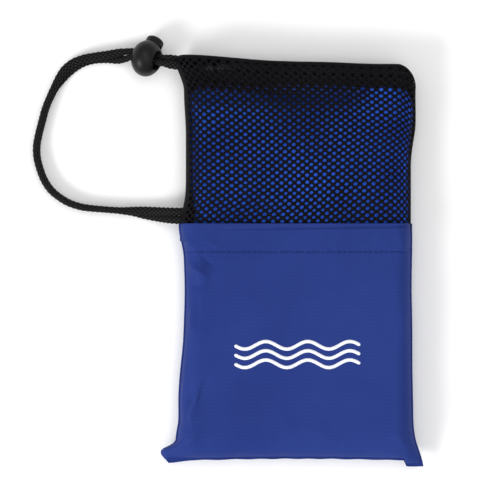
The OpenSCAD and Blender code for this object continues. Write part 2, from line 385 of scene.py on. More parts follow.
def steel():
    f = Finish("spring_steel", Metallic=1.0)
    drawn = f.noise(2500, 2)
    return f.wire(Base_Color=f.colour(drawn, srgb(150, 150, 152), srgb(205, 205, 208)),
                  Roughness=f.spread(drawn, 0.3, 0.7, 0.22, 0.38))


cloth_blue = coated_cloth()
cloth_net = net_cloth()
cloth_braid = braid_cloth("braided_cord", srgb(1, 1, 1), srgb(60, 60, 62))
cloth_tape = braid_cloth("seam_tape", srgb(6, 6, 7), srgb(26, 26, 28))
# the blue thread is darker than the cloth: partly its own colour and partly painted shade of the
# needle holes along the waist stitch row
thread_blue = thread("blue_thread", srgb(8, 14, 48), srgb(22, 34, 86))
thread_black = thread("black_thread", srgb(2, 2, 3), srgb(20, 20, 22))
thread_towel = thread("towel_thread", srgb(16, 44, 140), srgb(34, 78, 196))
cloth_towel = microfibre()
ink_white = ink()

# ---------------------------------------------------------------- cords
CORD_R = 1.5
STEP = 0.3            # mm along a braid from one ring to the next
BRAID_OUT = 0.12      # how far the yarns stand out past the cord's own radius
CARRIERS = 6          # strands of yarn each way round the braid
BRAID_PITCH = 2.3     # mm along the cord from one strand to the next
BRAID_RELIEF = 0.36   # how deep the gaps between the yarns are
BRAID_FLAT = 0.32     # how much wider the hollow braid is where it lies flattened

ROUTE_A = [
    (-52, 24.05, 9.5), (-56, 24.05, 9.5), (-60, 24.1, 8.8), (-64, 24.25, 7), (-69, 24.5, 5.1),
    (-74, 24.7, 4.5), (-80, 24.8, 4.6), (-86, 24.9, 4.7), (-100, 25.8, 4.7),
    (-106, 26.9, 4.7), (-111, 28.8, 4.7), (-115.5, 31.7, 4.7), (-119, 34.8, 4.7),
    (-122, 39.4, 4.7), (-124, 44.5, 4.7), (-125.4, 50, 4.7), (-125.7, 55.5, 4.7),
    (-124.8, 61, 4.7), (-123.2, 67.4, 4.7), (-121.4, 74, 4.7), (-119.2, 79.5, 4.7),
    (-117, 84.3, 4.7), (-114.5, 89, 4.5), (-111.6, 93, 4.3), (-107.6, 96.1, 4.3),
    (-102.5, 98, 4.6), (-97, 99, 4.7), (-91.5, 99.8, 4.6), (-86.5, 100.7, 4.3),
    (-82, 101.5, 4.2), (-77.6, 101.35, 5.1), (-71.3, 99.8, 7.7), (-65, 98.2, 10.3),
    (-61.3, 97.5, 11.1), (-57.6, 97, 10.4), (-54, 96, 8.8), (-50.5, 94.7, 6.4),
    (-47, 93.6, 4), (-43.5, 93.1, 2.4), (-40, 93, 1.9)]
ROUTE_B = [
    (-52, 20.25, 9.5), (-56, 20.25, 9.5), (-60, 20.4, 8.6), (-64, 20.9, 6), (-68, 21.6, 3.2),
    (-73, 22.6, 1.7), (-79, 23.9, 1.55), (-86, 24.7, 1.55),
    (-100, 26.1, 1.55), (-106, 27.3, 1.55), (-110.8, 29.2, 1.55), (-115.2, 32, 1.55),
    (-118.6, 35.1, 1.55), (-121.6, 39.6, 1.55), (-123.6, 44.6, 1.55), (-125, 50, 1.55),
    (-125.3, 55.5, 1.55), (-124.4, 61, 1.55), (-122.8, 67.4, 1.55), (-121, 74, 1.55),
    (-118.8, 79.3, 1.55), (-116.4, 83.9, 1.55), (-113.3, 88, 1.55), (-110.1, 91.5, 1.55),
    (-106.6, 94.3, 1.55), (-102.2, 96.6, 1.55), (-96.9, 97.8, 1.55), (-91.3, 98, 1.7),
    (-86.8, 97.6, 2.5), (-82.7, 97.8, 4.3), (-78.8, 98.75, 6.4), (-72.5, 97.2, 9),
    (-66.2, 95.6, 11.65), (-62.4, 94.8, 12.9), (-58.8, 94.2, 12.8), (-55.2, 93.7, 12.7),
    (-51.8, 93.3, 13.6), (-48.4, 93.1, 15.2), (-44.5, 93, 16.6), (-40, 93, 17.1)]


def braid(name, path, radius=CORD_R, sides=24):
    """A braided cord round a path in mm. Yarns cross over and under in a diamond pattern."""
    run = np.concatenate([[0], np.cumsum(np.linalg.norm(np.diff(path, axis=0), axis=1))])
    turn = np.linspace(0, CARRIERS, sides, endpoint=False)
    one = turn[None, :] + run[:, None] / BRAID_PITCH
    two = turn[None, :] - run[:, None] / BRAID_PITCH
    over = (np.floor(one) + np.floor(two)) % 2 == 0
    a, b = np.sin(math.pi * (one % 1)), np.sin(math.pi * (two % 1))
    lump = np.where(over, a * b**0.4, b * a**0.4)
    x, y = path[:, 0], path[:, 1]
    in_lock = smooth(-86, -82, x) * smooth(-61, -64, x)
    flat = BRAID_FLAT * np.maximum(smooth(-88, -72, x) * smooth(45, 35, y),
                                   smooth(82, 94, y) * (1 - in_lock))[:, None, None]
    points, faces = tube(path, radius + BRAID_OUT - BRAID_RELIEF * (1 - lump), sides,
                         1.0 + flat, 0.97 - 0.4 * flat)
    # groove is the depth between the yarns, which the braid material darkens as painted shade
    return make(name, points, faces, cloth_braid, values={"groove": (1 - lump).ravel()})


# each drawcord becomes a braid round its route, in place of its CAD node
for name, route, lay_y in (("drawcord_a", ROUTE_A, ROUTE_A[0][1]),
                          ("drawcord_b", ROUTE_B, ROUTE_B[0][1])):
    line = spline(route, STEP)
    piece = braid(name + "_braid", line)
    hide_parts(name)
    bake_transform(piece)

# ---------------------------------------------------------------- coated panels
SIDE_R = 8.0         # how far in from a side seam the cloth has turned level
BOTTOM_R = 14.0      # the same for the bottom seam
LIP = 0.9            # flattened edge outside the seam line
SEAM_Y = -93.4       # seam line at the bottom
WAIST_Y = 5.0        # stitch row that holds the folded top edge
FOLD_Y = 18.2        # folded top edge of the coated panel
PANEL_T = 0.35
HALF_WIDTH = 55.0    # of the filled pouch
PANEL_HIGH = {1: 9.3, -1: 9.1}     # how far the front and the back stand out from MID


def panel_left(y):
    return (53.4 + 2.2 * smooth(2, 18, y) + 3.0 * smooth(-34, -68, y)
            + 1.0 * smooth(-75, -84, y) + 0.35 * np.sin(np.asarray(y, float) / 9.0))


def panel_right(y):
    return 54.3 + 0.5 * smooth(-30, -62, y) + 0.9 * smooth(-74, -90, y) + 0.15 * np.sin(
        np.asarray(y, float) / 7.0)


def rise(distance, radius):
    """Height share of a rounded edge, at a distance in from where it starts."""
    t = np.clip(distance / radius, 0, 1)
    return np.sqrt(1 - (1 - t) ** 2)


def edge_steps(lip, radius, count):
    """Offsets across a seam's lip and up its rounded edge."""
    turn = np.linspace(0, math.pi / 2, count + 1)[1:]
    return np.concatenate([np.linspace(-lip, 0, 5), radius * (1 - np.cos(turn))])


# where sewing puckers stand along the waist, how high and how wide
PUCKERS = list(zip(np.arange(-52, 54, 3.1) + rng.uniform(-1.2, 1.2, 35),
                   rng.uniform(-0.26, 0.3, 35), rng.uniform(0.9, 1.9, 35)))


# creases of the front panel: centre, direction in radians, length, width and height
CREASES = [
    (-42.8, 0.6, -0.72, 7.5, 2.6, -1.5), (-46.8, -4.4, -0.66, 8.0, 2.6, 2.6),
    (-41.6, -9.4, 0.75, 4.5, 1.8, -1.0), (-48.8, -11.0, -0.20, 7.5, 2.4, -0.9),
    (-50.0, 8.0, -1.1, 6.0, 1.8, 1.2), (-40.0, 8.5, -0.55, 8.0, 2.2, 0.9),
    (-51.6, -66.0, 1.46, 12.0, 1.7, -1.9), (-48.4, -66.0, 1.30, 12.0, 1.9, 2.3),
    (-54.6, -62.0, 1.50, 11.0, 1.3, 1.3), (-45.0, -60.0, 1.20, 12.0, 2.6, -0.7),
    (-50.6, -73.0, 1.5, 7.0, 1.8, 1.5), (-50.2, -28.0, 1.56, 16.0, 1.6, 1.3),
    (-47.6, -24.0, 1.50, 12.0, 1.6, -0.8),
    (-50.0, -84.0, 0.85, 9.0, 2.0, 1.7), (-53.5, -88.5, 0.55, 7.0, 1.6, -1.3),
    (50.0, -85.5, -0.9, 9.0, 1.8, 1.5), (53.2, -90.0, -1.05, 7.0, 1.5, -1.2),
    (50.6, -30.0, 1.6, 16.0, 1.6, 0.8), (50.0, 9.0, 1.9, 7.0, 1.6, 1.0)]


def panel_wrinkles(x, y, side):
    """How far the coated cloth stands out from its plain shape, in mm."""
    flat = np.column_stack([x.ravel(), y.ravel(), np.full(x.size, side * 3.0)])
    soft = wobble(flat, 34.0, 1.0).reshape(x.shape)
    fine = wobble(flat * (1.0, 0.6, 1.0), 9.0, 2.0).reshape(x.shape)
    out = 0.32 * soft + 0.10 * fine
    out += 0.38 * smooth(WAIST_Y - 0.5, WAIST_Y + 0.6, y)                # doubled top edge
    out -= 0.7 * bell(y, WAIST_Y, 0.6) * (0.6 + 0.4 * np.cos(2 * math.pi * x / 2.5))
    for centre, height, width in PUCKERS:                                # sewing puckers
        out += height * bell(x, centre, width) * np.exp(-np.abs(y - WAIST_Y) / 4.2)
    out -= 0.75 * bell(y, 16.2 + 0.014 * x, 0.45) * smooth(-60, 10, x)    # crease under the fold
    if side > 0:
        for cx, cy, turn, length, width, height in CREASES:
            along = (x - cx) * math.cos(turn) + (y - cy) * math.sin(turn)
            across = -(x - cx) * math.sin(turn) + (y - cy) * math.cos(turn)
            out += height * bell(along, 0, length * 0.6) * np.exp(-np.abs(across) / width)
    return out


def panel_grid(side):
    """Points of one coated panel, row by row from the bottom seam to its fold."""
    edge = edge_steps(LIP, SIDE_R, 14)
    inner = np.linspace(0, 1, 140)[1:-1]
    share = np.concatenate([np.zeros(len(edge)), inner, np.ones(len(edge))])
    offset = np.concatenate([edge, SIDE_R * (1 - 2 * inner), -edge[::-1]])
    low = SEAM_Y + edge_steps(1.1, BOTTOM_R, 12)
    fold = [(FOLD_Y, 0.0), (FOLD_Y + 0.3, -0.22), (FOLD_Y + 0.22, -0.7), (FOLD_Y - 0.6, -0.85),
            (FOLD_Y - 3.5, -0.8), (WAIST_Y + 5.0, -0.75)]
    rows = np.concatenate([low, np.arange(low[-1] + 0.8, 3.0, 0.8), np.arange(3.0, 7.4, 0.3),
                           np.arange(7.8, 14.6, 0.9), np.arange(14.8, FOLD_Y - 0.1, 0.3),
                           [f[0] for f in fold]])
    depth = np.concatenate([np.zeros(len(rows) - len(fold)), [f[1] for f in fold]])
    y = np.repeat(rows[:, None], len(share), 1)
    left, right = -panel_left(y), panel_right(y)
    x = left + (right - left) * share[None, :] + offset[None, :]
    high = PANEL_HIGH[side]
    height = high * rise(x - left, SIDE_R) * rise(right - x, SIDE_R) * rise(y - SEAM_Y, BOTTOM_R)
    inside = np.minimum(np.minimum(x - left, right - x), y - SEAM_Y)
    height = height + 0.24 * smooth(-LIP, -LIP + 0.35, inside)
    ear_l = (np.exp(-((x + 57.6) / 5.6) ** 2) * smooth(-84.9, -91.2, y)
             * (1 - 0.55 * smooth(-92.0, -94.8, y)))
    ear_r = np.exp(-((x - 56.2) / 5.0) ** 2 - ((y + 95.0) / 7.5) ** 2)
    height = height + 1.5 * ear_l * smooth(-1.0, 2.0, inside)
    step_r = 2.9 * smooth(50.2, 51.2, x) * np.exp(-((y + 95.0) / 6.0) ** 2)
    wave = 0.35 * np.sin(x / 3.4) * bell(y, SEAM_Y - 1, 3.0)
    scallop = (-0.12 * np.cos(x / 2.1 + 1.5 * np.sin(x / 17.0))
               * smooth(SEAM_Y + 1, SEAM_Y - 1.1, y))
    z = MID + side * height - 3.2 * ear_l - 2.4 * ear_r + wave
    slope = 0.9 * (x / HALF_WIDTH) ** 2 * smooth(-70, -95, y)
    low_l = 1.5 * bell(x, -57.5, 4.5) * smooth(-92.0, -94.6, y)
    points = np.stack([x - 7.2 * ear_l + 4.4 * ear_r, y + 1.0 * ear_l - step_r - low_l - slope
                       + scallop, z], -1)
    du, dv = np.gradient(points, axis=1), np.gradient(points, axis=0)
    normal = np.cross(du, dv) * side
    normal /= np.maximum(np.linalg.norm(normal, axis=2), 1e-9)[..., None]
    free = smooth(-0.2, 3.5, inside)
    out = panel_wrinkles(x, y, side) * free
    if side < 0:
        out = out * np.where(np.abs(z - MID) > 8.6, 0.25, 0.7) - 0.1
    top = len(rows) - len(fold)
    points = points + normal * out[..., None]
    for r in range(top + 1, len(rows)):      # the fold turns in under the row it starts from
        inset = points[top] * (1 + depth[r] / HALF_WIDTH, 1, 1)
        inset[:, 2] = MID + (points[top][:, 2] - MID) * (1 + depth[r] / high)
        inset[:, 1] += rows[r] - rows[top]
        points[r] = inset
    run = np.concatenate([[0], np.cumsum(np.linalg.norm(np.diff(points[60], axis=0), axis=1))])
    rise_y = np.concatenate([[0], np.cumsum(np.linalg.norm(
        np.diff(points[:, len(share) // 2], axis=0), axis=1))])
    uv = np.stack(np.broadcast_arrays(run[None, :], rise_y[:, None]), -1)
    return points, uv


surfaces = {}
for side, label in ((1, "front"), (-1, "back")):
    points, uv = panel_grid(side)
    rows, cols = points.shape[:2]
    faces = grid_faces(rows, cols, flip=side < 0)
    piece = make("panel_" + label, points.reshape(-1, 3), faces, cloth_blue, uv.reshape(-1, 2))
    surfaces[side] = BVHTree.FromPolygons((points.reshape(-1, 3)).tolist(), faces)
    thicken(piece, PANEL_T)
    settle(piece, "pouch", "coated_fabric", label + "_panel")


def on_panel(x, y, lift, side=1):
    """The point on a coated panel over (x, y), lifted off it by some mm."""
    hit = surfaces[side].ray_cast(Vector((x, y, 60.0 * side)), Vector((0, 0, -side)))
    if hit[0] is None:
        return None
    normal = hit[1] if hit[1].z * side > 0 else -hit[1]
    return np.array(hit[0] + normal * lift)


# ---------------------------------------------------------------- net
HOLE_PITCH_X, HOLE_PITCH_Y = 4.13, 3.3
HOLE_A, HOLE_B = 0.95, 0.79       # half width and half height of an oval hole
NET_HALF_T = 0.17
NET_HIGH, NET_LOW = 8.95, 9.15    # how far the net stands out from MID, front and back
NET_W = 120.5                     # flat width from side seam to side seam
NET_ARC = 15.3                    # flat width of each rounded side
NET_START = 7.0                   # lowest row, under the coated panel's folded edge
HEM_Y = 89.6                      # stitch row under the hem
HEM_LOOP = [(89.6, 0.1), (90.6, 0.1), (91.8, 0.0), (93.2, 0.0), (94.8, 0.2), (96.2, 0.9),
            (96.8, 1.95), (96.2, 3.0), (94.8, 3.6), (93.2, 3.75), (91.8, 3.4), (90.6, 2.0),
            (89.6, 0.9), (87.5, 0.75), (84.5, 0.75), (81.0, 0.8)]
hem_line = spline(HEM_LOOP, 0.25)
hem_run = np.concatenate([[0], np.cumsum(np.linalg.norm(np.diff(hem_line, axis=0), axis=1))])
NET_L = HEM_Y + hem_run[-1]
HEM_FOLD = HEM_Y + hem_run[hem_line[:, 0].argmax()]   # flat place of the mouth's edge
# flat place where the turned-in edge starts to be open net again
HEM_IN = HEM_Y + hem_run[np.where(hem_line[:, 0] > 86.6)[0][-1]]
SEAM_BAND_L, SEAM_BAND_R = 6.5, 2.6                   # closed cloth along the side seams


def net_left(y):
    return (53.2 + 2.6 * bell(y, 19, 9) + 0.9 * smooth(60, 80, y) + 4.2 * smooth(80, 95, y)
            - 1.2 * smooth(16, 6, y))


def net_right(y):
    return 54.5 + 2.3 * smooth(46, 74, y) - 1.0 * smooth(16, 6, y)


def mouth_slope(x):
    """How far the mouth's edge stands beyond or short of its middle line at x."""
    return (2.2 * smooth(-8, -58, x) - 1.4 * smooth(-50, 20, x) - 0.9 * smooth(10, 40, x)
            - 8.0 * (1 - np.sqrt(1 - np.clip((np.asarray(x, float) - 47) / 10, 0, 0.99) ** 2)))


def net_base(share, y, side):
    """Point on the net's plain shape. share runs from 0 at the left seam to 1 at the right."""
    left, right = net_left(y), net_right(y)
    arc = NET_ARC / NET_W
    turn_l = np.clip(share / arc, 0, 1) * math.pi / 2
    turn_r = np.clip((1 - share) / arc, 0, 1) * math.pi / 2
    middle = np.clip((share - arc) / (1 - 2 * arc), 0, 1)
    x = (-left + SIDE_R * (1 - np.cos(turn_l)) + middle * (left + right - 2 * SIDE_R)
         + SIDE_R * np.cos(turn_r))
    level = np.sin(turn_l) * np.sin(turn_r)
    if side > 0:
        high = (NET_HIGH - 1.1 * bell(y, 85.5, 4.5) * (1 - 0.3 * np.cos(x / 11.0))
                + 0.1 * smooth(88, 93, y))
        flat = np.column_stack([x, y, np.zeros(len(x))])
        high = high + (0.35 * wobble(flat, 26.0, 4.0, 1) - 0.15) - 0.7 * smooth(27, 18, y)
    else:
        high = np.full(len(x), NET_LOW) - 0.8 * smooth(27, 18, y)
    shift = mouth_slope(x) * smooth(38, 90, y)
    return np.column_stack([x, y + shift, MID + side * high * level])


def normals_of(function, share, v, side):
    e = 0.002
    du = function(share + e, v) - function(share - e, v)
    dv = function(share, v + 0.1) - function(share, v - 0.1)
    n = np.cross(du, dv) * side
    return n / np.maximum(np.linalg.norm(n, axis=1), 1e-9)[:, None]


def net_point(share, v, side):
    """Point on the net, which goes on round the hem past the stitch row."""
    run = np.clip(v - HEM_Y, 0, hem_run[-1])
    y = np.where(v < HEM_Y, v, np.interp(run, hem_run, hem_line[:, 0]))
    depth = np.where(v < HEM_Y, 0.1 * smooth(80, HEM_Y, v),
                     np.interp(run, hem_run, hem_line[:, 1]))
    inner = np.sin(math.pi * np.clip(share, 0, 1)).clip(0) ** 0.5
    pull = inner * smooth(HEM_Y, HEM_Y - 12, v)
    share = share + pull * 0.0055 * np.sin(y / 13.0 + 5 * share) * np.sin(9 * share + 1.0)
    y = y + pull * 0.8 * np.sin(7.5 * share + y / 30.0 + 0.6)
    base = net_base(share, y, side)
    out = normals_of(lambda s, w: net_base(s, w, side), share, y, side)
    return base - out * depth[:, None]


def lattice(width, start, end, solid, spread, gone):
    """A flat strip of cloth with staggered oval holes: points (u, v, h) and faces.

    Each hole's cell is a six-sided piece of cloth. Strands are thickest midway between holes.
    solid(u, v) says where a cell has no hole, spread(u, v) how far the cloth is stretched and
    gone(u, v) where it is cut away.
    """
    a, b = HOLE_PITCH_X / 2, HOLE_PITCH_Y / 2
    corner = ((a * a + b * b) / 2 - b * b) / a
    tip = (a * a + b * b) / (2 * a)
    hexagon = np.array([(tip, 0), (corner, b), (-corner, b),
                        (-tip, 0), (-corner, -b), (corner, -b)])
    ring = []
    for i in range(6):
        ring.append(hexagon[i])
        if np.linalg.norm(hexagon[(i + 1) % 6] - hexagon[i]) > 1.5:
            ring.append((hexagon[i] + hexagon[(i + 1) % 6]) / 2)
    ring = np.array(ring)
    angle = np.arctan2(ring[:, 1], ring[:, 0])
    reach = 1 / np.sqrt((np.cos(angle) / HOLE_A) ** 2 + (np.sin(angle) / HOLE_B) ** 2)
    oval = np.column_stack([np.cos(angle), np.sin(angle)]) * reach[:, None]
    count = len(ring)
    points, faces, known = [], [], {}

    def shared(u, v, h):
        key = (round(float(u) + 0.0003, 3), round(float(v) + 0.0003, 3), h > 0)
        if key not in known:
            known[key] = len(points)
            points.append((u, v, h))
        return known[key]

    def add(face):
        face = [i for k, i in enumerate(face) if i != face[k - 1]]
        if len(set(face)) == len(face) and len(face) > 2:
            faces.append(tuple(face))

    def fill(loop, rim, h):
        """Closed cloth across one cell, with a ring of points half way in."""
        if len(set(loop)) < count:
            return add(loop)
        first = len(points)
        hub = rim.mean(axis=0)
        points.extend((*(hub + (p - hub) * 0.5), h) for p in rim)
        points.append((*hub, h))
        for k in range(count):
            n = (k + 1) % count
            add((loop[k], loop[n], first + n, first + k))
            add((first + k, first + n, first + count))

    rows = int((end - start) / b) + 2
    cols = int(width / HOLE_PITCH_X) + 3
    for j in range(rows):
        for i in range(-1, cols):
            cu, cv = (i + 0.5 * (j % 2)) * HOLE_PITCH_X, start + j * b
            if gone(cu, cv) or not (-tip < cu < width + tip and start - b < cv < end + b):
                continue
            rim = np.column_stack([np.clip(cu + ring[:, 0], 0, width),
                                   np.clip(cv + ring[:, 1], start, end)])
            top = [shared(u, v, NET_HALF_T) for u, v in rim]
            low = [shared(u, v, -NET_HALF_T) for u, v in rim]
            if solid(cu, cv) or cv - HOLE_B < start or cv + HOLE_B > end:
                fill(top, rim, NET_HALF_T)
                fill(low[::-1], rim[::-1], -NET_HALF_T)
                continue
            jitter = 0.98 + 0.08 * math.sin(12.9 * i + 78.2 * j) + spread(cu, cv)
            first = len(points)
            hole = oval * jitter + (cu, cv)
            for h in (NET_HALF_T * 0.9, 0.0, -NET_HALF_T * 0.9):
                pull = 0.42 if h else 0.0
                for p, q in zip(hole, rim):
                    m = p + (q - p) * pull
                    points.append((m[0], m[1], h))
            mid, eye, under = first, first + count, first + 2 * count
            for k in range(count):
                n = (k + 1) % count
                add((top[k], top[n], mid + n, mid + k))
                add((mid + k, mid + n, eye + n, eye + k))
                add((eye + k, eye + n, under + n, under + k))
                add((under + k, under + n, low[n], low[k]))
    # the strip's open edges are closed by a wall between its two sides
    used = dict.fromkeys((face[k - 1], face[k]) for face in faces for k in range(len(face)))
    partner = {i: known[(k[0], k[1], False)] for k, i in known.items() if k[2]}
    for p, q in used:
        if (q, p) not in used and p in partner and q in partner:
            faces.append((q, p, partner[p], partner[q]))
    return np.array(points, float), faces


def is_solid(u, v):
    return u < SEAM_BAND_L or u > NET_W - SEAM_BAND_R or HEM_FOLD - 1.6 < v < HEM_IN


def stretch(u, v):
    """Holes are pulled open towards the right side and sit closer in the middle of the top."""
    return float(0.06 * smooth(80, 112, u) - 0.07 * bell(u, 55, 26) * smooth(45, 80, v))


def is_cut(u, v):
    """The turned-in edge of the hem is cut narrower towards the right."""
    return v > HEM_IN + 1.0 + 6.0 * (1 - smooth(66, 88, u))


net_flat, net_faces = lattice(NET_W, NET_START, NET_L, is_solid, stretch, is_cut)
for side, label in ((1, "front"), (-1, "back")):
    share = np.clip(net_flat[:, 0] / NET_W, 0.0, 1.0)
    spot = lambda s, v, side=side: net_point(s, v, side)
    body = spot(share, net_flat[:, 1])
    out = normals_of(spot, share, net_flat[:, 1], side)
    points = body + out * net_flat[:, 2][:, None]
    faces = net_faces if side > 0 else [f[::-1] for f in net_faces]
    piece = make("net_" + label, points, faces, cloth_net, net_flat[:, :2])
    settle(piece, "pouch", "mesh_fabric", label + "_mesh", "casing_" + label)

# ---------------------------------------------------------------- cord in the hem
CORD_Y, CORD_IN = 93.1, 1.9       # where the cord lies in the hem, and how deep
shares = np.linspace(0.145, 1.0, 60)
parts = []
for side in (-1, 1):
    y = np.full(len(shares), CORD_Y)
    base = net_base(shares, y, side)
    out = normals_of(lambda s, w, side=side: net_base(s, w, side), shares, y, side)
    parts.append(base - out * CORD_IN)
hem_path = np.vstack([parts[0], parts[1][::-1][1:]])
start, end = np.array(ROUTE_A[-1], float), np.array(ROUTE_B[-1], float)
for target, order in ((start, 1), (end, -1)):
    path = hem_path[::order]
    away = np.linalg.norm(path - path[0], axis=1)
    path += (target - path[0])[None, :] * (1 - smooth(0, 22, away))[:, None]
piece = braid("casing_cord_braid", spline(hem_path[::3], STEP))
settle(piece, "pouch", "braided_cord", "casing_cord")

# ---------------------------------------------------------------- towel
TOWEL_T = 0.83            # room each layer takes
PLY_HALF = 49.6           # half of one ply's straight width
PANEL_STRAIGHT = 156.5
TOWEL_X, TOWEL_Y, TOWEL_Z = 0.9, 2.3, 9.3


def towel_ply(a):
    """Across the towel: x and the offset of the ply, for a from 0 to 1."""
    bend = math.pi * TOWEL_T / 2
    total = 4 * 2 * PLY_HALF + 3 * bend
    s = np.asarray(a, float) * total
    x, h = np.zeros_like(s), np.zeros_like(s)
    at = 0.0
    for k in range(4):
        way, level = (1 if k % 2 == 0 else -1), (k - 1.5) * TOWEL_T
        on = (s >= at - 1e-9) & (s <= at + 2 * PLY_HALF + 1e-9)
        x = np.where(on, way * (s - at - PLY_HALF), x)
        h = np.where(on, level, h)
        at += 2 * PLY_HALF
        if k < 3:
            on = (s > at) & (s < at + bend)
            turn = (s - at) / (TOWEL_T / 2)
            x = np.where(on, way * (PLY_HALF + TOWEL_T / 2 * np.sin(turn)), x)
            h = np.where(on, level + TOWEL_T / 2 * (1 - np.cos(turn)), h)
            at += bend
    return x, h


def towel_stack(b):
    """Along the towel: y, z and the direction across the four plies, for b from 0 to 1."""
    radius = 2 * TOWEL_T
    bend = math.pi * radius
    total = 5 * PANEL_STRAIGHT + 4 * bend
    s = np.asarray(b, float) * total
    y, z = np.zeros_like(s), np.zeros_like(s)
    ny, nz = np.zeros_like(s), np.ones_like(s)
    at = 0.0
    for k in range(5):
        way, level = (1 if k % 2 == 0 else -1), (k - 2) * 4 * TOWEL_T
        on = (s >= at - 1e-9) & (s <= at + PANEL_STRAIGHT + 1e-9)
        y = np.where(on, way * (s - at - PANEL_STRAIGHT / 2), y)
        z = np.where(on, level, z)
        nz = np.where(on, way, nz)
        at += PANEL_STRAIGHT
        if k < 4:
            on = (s > at) & (s < at + bend)
            turn = (s - at) / radius
            y = np.where(on, way * (PANEL_STRAIGHT / 2 + radius * np.sin(turn)), y)
            z = np.where(on, level + radius * (1 - np.cos(turn)), z)
            ny = np.where(on, -np.sin(turn), ny)
            nz = np.where(on, way * np.cos(turn), nz)
            at += bend
    return y, z, ny, nz


def towel_point(a, b):
    """Point on the folded towel for arrays a and b."""
    x, h = towel_ply(a)
    y, z, ny, nz = towel_stack(b)
    panel = np.floor(np.clip(np.asarray(b, float) * 5, 0, 4.999))
    ply = np.floor(np.clip(np.asarray(a, float) * 4, 0, 3.999))
    yy, zz = y + ny * h, z + nz * h
    far = np.abs(yy) / (PANEL_STRAIGHT / 2)
    edge = np.abs(x) / PLY_HALF
    # every fold ends in a slightly different place, and the ends are pressed thinner
    yy = yy + np.sign(yy) * smooth(0.6, 1.0, far) * (
        0.9 * np.sin(2.1 * panel + 0.9) + 0.5 * np.sin(x / 13.0 + panel))
    mouth = smooth(0.3, 1.0, yy / (PANEL_STRAIGHT / 2))
    yy = yy - mouth * (1.2 + 3.4 * zz / (10 * TOWEL_T))   # upper layers end further in
    yy = yy + mouth * (8.6 - 4.0 * smooth(44, 51, x)) * smooth(24, 40, x) * (panel == 4)
    xx = x + np.sign(x) * smooth(0.6, 1.0, edge) * (0.35 * np.sin(1.7 * ply + 2.3 * panel)
                                                   + 0.3 * np.sin(yy / 21.0 + panel))
    thin = (1 - 0.20 * smooth(0.84, 1.04, far)) * (1 - 0.16 * smooth(0.86, 1.02, edge))
    crown = 1 + 0.012 * np.cos(xx / 17.0) * np.cos(yy / 24.0)
    crown = crown - 0.13 * bell(yy + TOWEL_Y, 17, 9)      # pressed thinner at the pouch's waist
    zz = zz * thin * crown
    # the sides fill the pouch's rounded sides
    room = SIDE_R * (1 - np.sqrt(1 - np.clip(zz / NET_HIGH, -0.99, 0.99) ** 2))
    wall = np.where(xx < 0, 52.6 - 2.6 * bell(yy, 20, 9), net_right(yy) - 1.6)
    reach = (wall - room - PLY_HALF - 0.6) * smooth(6, 20, yy) - 3.4 * smooth(70, 82, yy) * (xx > 0)
    xx = xx + np.sign(x) * smooth(0.5, 1.0, edge) * reach
    return np.stack([xx + TOWEL_X, yy + TOWEL_Y, zz + TOWEL_Z], -1)


def samples(straight, bend, runs, straight_steps, bend_steps):
    """Shares along a folded line, with more points in the bends."""
    total = runs * straight + (runs - 1) * bend
    out, at = [], 0.0
    for k in range(runs):
        out += list(at + np.linspace(0, straight, straight_steps, endpoint=False))
        at += straight
        if k < runs - 1:
            out += list(at + np.linspace(0, bend, bend_steps, endpoint=False))
            at += bend
    return np.array(out + [total]) / total


a_steps = samples(2 * PLY_HALF, math.pi * TOWEL_T / 2, 4, 22, 6)
b_steps = samples(PANEL_STRAIGHT, math.pi * 2 * TOWEL_T, 5, 36, 9)
grid_b, grid_a = np.meshgrid(b_steps, a_steps, indexing="ij")
points = towel_point(grid_a, grid_b)
towel_sheet = make("towel_sheet", points.reshape(-1, 3),
                   grid_faces(len(b_steps), len(a_steps)), cloth_towel)
thicken(towel_sheet, 0.62, 0.0)
settle(towel_sheet, "folded_towel", "microfibre", "towel")


def overlock(line, across, out, pitch=1.3, width=2.6, lift=0.38):
    """A zigzag of thread over a cloth edge. across points into the cloth, out away from it."""
    path = []
    steps = spline(line, pitch / 2)
    for k, p in enumerate(steps):
        reach = width if k % 2 else -0.3
        path.append(p + np.array(across) * reach + np.array(out) * (lift if k % 2 else 0.1))
    return tube(spline(path, 0.45), 0.16, 5)


edge_line = towel_point(np.ones(60), np.linspace(0.803, 1.0, 60))
end_line = towel_point(np.linspace(0.755, 1.0, 60), np.ones(60))
parts = [overlock(edge_line, (1, 0, 0), (0, 0, 1)), overlock(end_line, (0, -1, 0), (0, 0, 1))]
points, faces = joined(parts)
piece = make("towel_hem", points, faces, thread_towel)
settle(piece, "folded_towel", "towel_thread", "towel_overlock")


# ---------------------------------------------------------------- seams and stitching
def stitch(p, q, up, lift=0.16):
    """One visible stitch from p to q that dives into the cloth at both ends."""
    t = np.linspace(0, 1, 6)[:, None]
    line = p + (q - p) * t
    bow = np.sin(np.linspace(0, math.pi, 6)) ** 0.5
    return tube(line + np.outer(bow * lift - 0.16, up), 0.2, 6)


